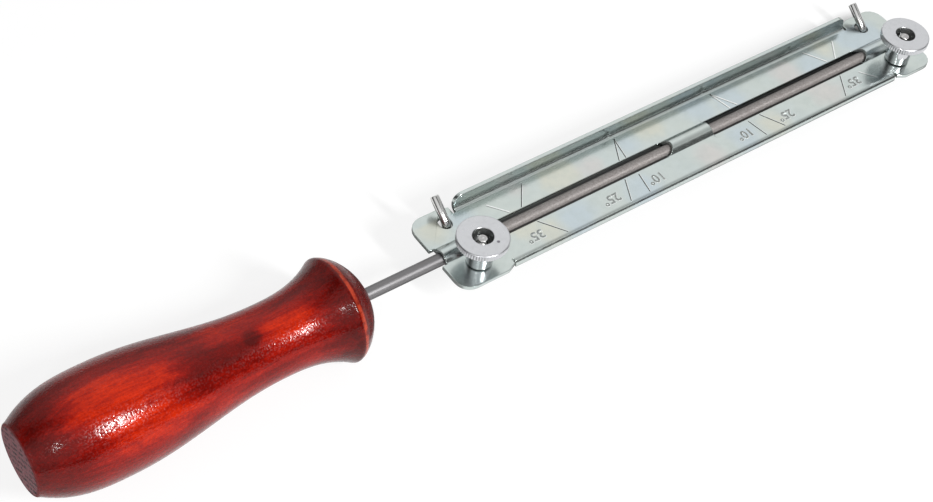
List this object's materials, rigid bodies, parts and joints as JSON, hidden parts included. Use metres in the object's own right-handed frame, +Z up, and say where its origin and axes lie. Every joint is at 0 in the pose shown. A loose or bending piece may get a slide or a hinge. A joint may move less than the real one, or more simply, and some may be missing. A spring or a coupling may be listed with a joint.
{
  "type": "chainsaw file guide",
  "caption": "Flat metal guide plate that clamps a round file with bent wires and thumb nuts, with a turned wooden handle, for sharpening chainsaw chain.",
  "frame": {"origin": "centre of the handle's flat butt, on the axis of the file and handle", "axes": "+X along the file from the butt to the tip, +Z up out of the plate's top face, +Y towards the plate's raised fence"},
  "size_m": [0.3326, 0.0345, 0.0336],
  "materials": {
    "zinc_sheet": "zinc plated, pale green-grey with a faint yellow and pink bloom, half glossy",
    "nut_satin": "satin plated, faintly lavender grey, straight knurl",
    "wire_bright": "bright plated wire with rolled thread",
    "file_steel": "warm grey tool steel, smooth shank, fine spiral-cut teeth",
    "red_lacquer": "turned hardwood under deep red-mahogany gloss lacquer"
  },
  "bodies": {
    "plate": {"guide_plate": "zinc_sheet"},
    "near_nut": {"near_thumb_nut": "nut_satin"},
    "far_nut": {"far_thumb_nut": "nut_satin"},
    "near_wire": {"near_clamp": "wire_bright"},
    "far_wire": {"far_clamp": "wire_bright"},
    "file": {"round_file": "file_steel"},
    "handle": {"file_handle": "red_lacquer"}
  },
  "joints": [
    {"name": "near_nut_turn", "type": "hinge", "parent": "plate", "child": "near_nut", "pos_m": [0.1458, -0.0072, 0.0017], "axis": [0, 0, 1], "range_deg": [0, 360]},
    {"name": "far_nut_turn", "type": "hinge", "parent": "plate", "child": "far_nut", "pos_m": [0.3219, -0.0072, 0.0017], "axis": [0, 0, 1], "range_deg": [0, 360]},
    {"name": "near_clamp_drop", "type": "slide", "parent": "plate", "child": "near_wire", "axis": [0, 0, -1], "range_m": [0, 0.0005]},
    {"name": "far_clamp_drop", "type": "slide", "parent": "plate", "child": "far_wire", "axis": [0, 0, -1], "range_m": [0, 0.0005]},
    {"name": "file_slide", "type": "slide", "parent": "plate", "child": "file", "axis": [-1, 0, 0], "range_m": [0, 0.2]},
    {"name": "handle_pull_off", "type": "slide", "parent": "file", "child": "handle", "axis": [-1, 0, 0], "range_m": [0, 0.041]}
  ],
  "couplings": [
    {"joint": "near_nut_turn", "follows": "near_clamp_drop", "rad_per_m": 12566},
    {"joint": "far_nut_turn", "follows": "far_clamp_drop", "rad_per_m": 12566}
  ]
}
